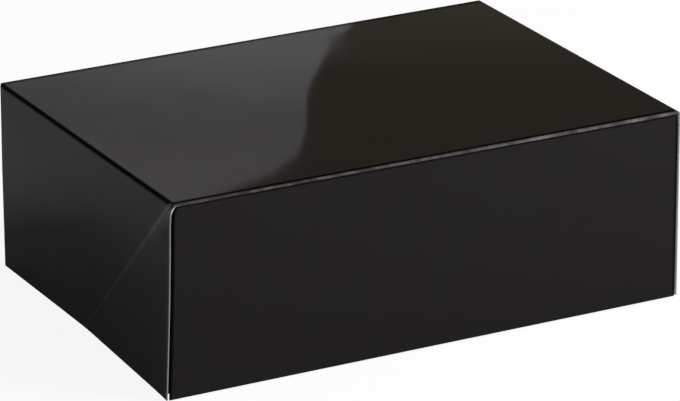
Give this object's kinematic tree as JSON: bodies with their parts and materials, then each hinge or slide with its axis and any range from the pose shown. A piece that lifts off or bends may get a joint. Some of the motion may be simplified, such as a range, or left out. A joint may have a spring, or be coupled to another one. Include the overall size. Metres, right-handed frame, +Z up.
{
  "type": "gift box",
  "caption": "Hinged-lid gift box of gloss black board, pre-glued at six corners, with deep lid flaps outside the base's walls.",
  "frame": {"origin": "on the surface that the box stands on, under the middle of the closed box", "axes": "+X to the right along the long front, +Y from the lid's front flap back to the hinge, +Z up"},
  "size_m": [0.254, 0.183, 0.09],
  "materials": {
    "lid_board": "gloss",
    "base_board": "gloss",
    "corner_glue": "satin"
  },
  "bodies": {
    "base": {"base_bottom": "base_board", "base_front_wall": "base_board", "base_back_wall": "base_board", "base_left_end_wall": "base_board", "base_right_end_wall": "base_board", "base_front_left_gusset": "base_board", "base_front_right_gusset": "base_board", "base_back_left_gusset": "base_board", "base_back_right_gusset": "base_board", "base_front_left_tab": "base_board", "base_front_right_tab": "base_board", "base_back_left_tab": "base_board", "base_back_right_tab": "base_board", "base_front_left_glue": "corner_glue", "base_front_right_glue": "corner_glue", "base_back_left_glue": "corner_glue", "base_back_right_glue": "corner_glue", "lid_hinge_crease": "lid_board"},
    "lid": {"lid_top": "lid_board", "lid_front_flap": "lid_board", "lid_left_end_flap": "lid_board", "lid_right_end_flap": "lid_board", "lid_left_gusset": "lid_board", "lid_right_gusset": "lid_board", "lid_left_tab": "lid_board", "lid_right_tab": "lid_board", "lid_left_glue": "corner_glue", "lid_right_glue": "corner_glue"}
  },
  "joints": [
    {"name": "lid_hinge", "type": "hinge", "parent": "base", "child": "lid", "pos_m": [0, 0.09125, 0.08975], "axis": [-1, 0, 0], "range_deg": [0, 208]}
  ]
}
